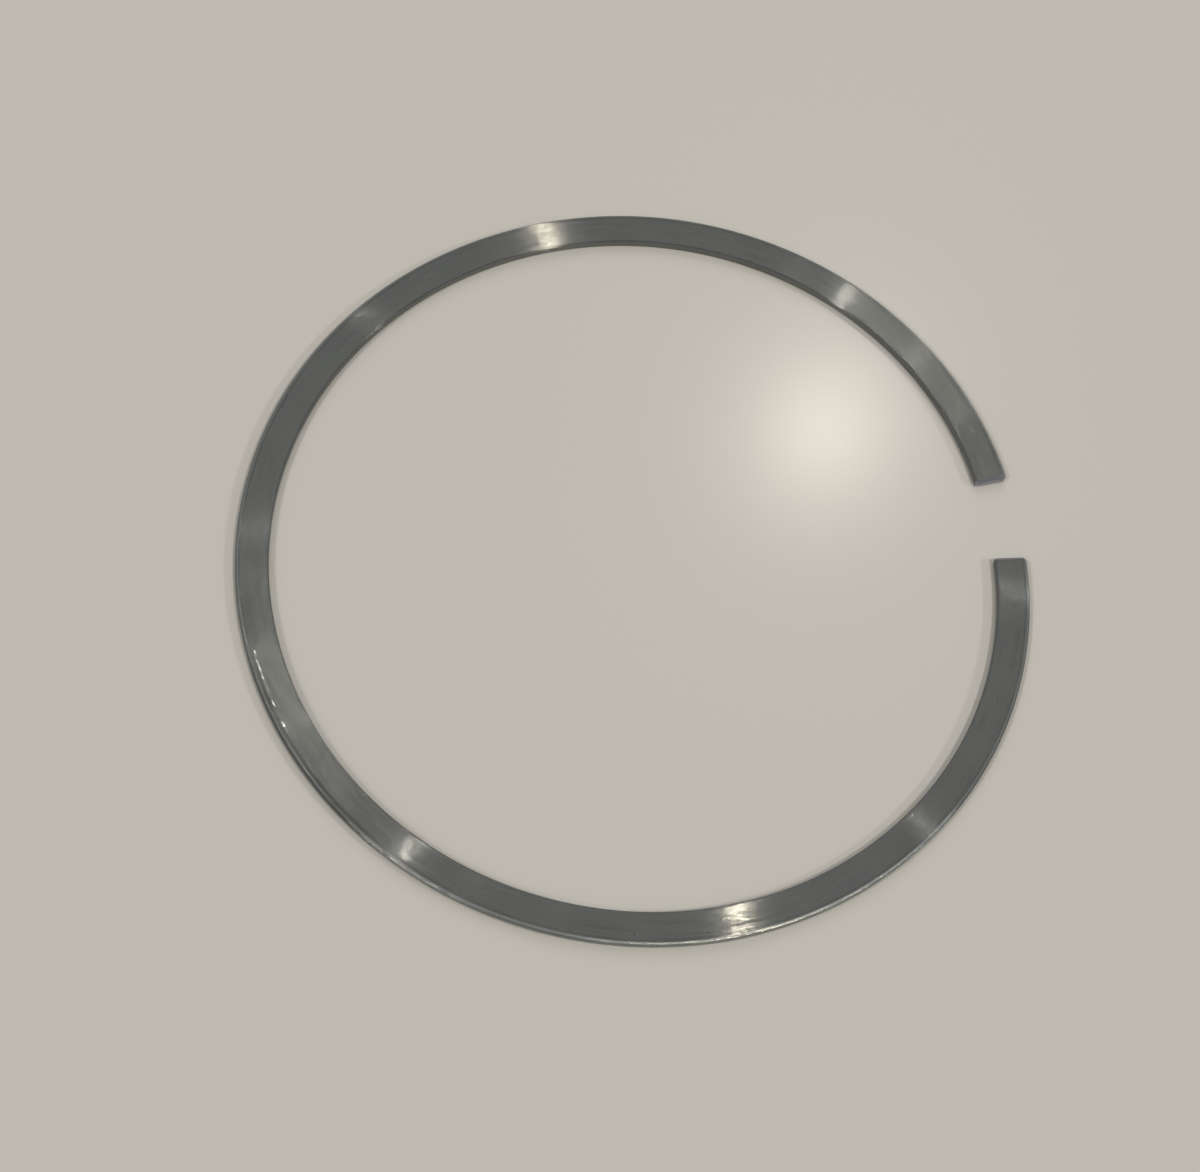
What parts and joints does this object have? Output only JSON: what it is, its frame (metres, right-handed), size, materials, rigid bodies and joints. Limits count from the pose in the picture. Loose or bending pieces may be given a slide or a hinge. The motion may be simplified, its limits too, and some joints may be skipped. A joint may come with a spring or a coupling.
{
  "type": "piston ring",
  "caption": "Split steel compression ring with rounded edges and a plain butt gap, sprung open in its free state.",
  "frame": {"origin": "in the plane of the lower side face, under the middle of the ring's outline", "axes": "+Z along the ring's axis; the split gap opens towards +X; +Y runs across the ring"},
  "size_m": [0.0878, 0.0896, 0.0012],
  "materials": {
    "ring_steel": "ground side faces with a circular lay, satin"
  },
  "bodies": {
    "root": {"piston_ring": "ring_steel"}
  },
  "joints": []
}
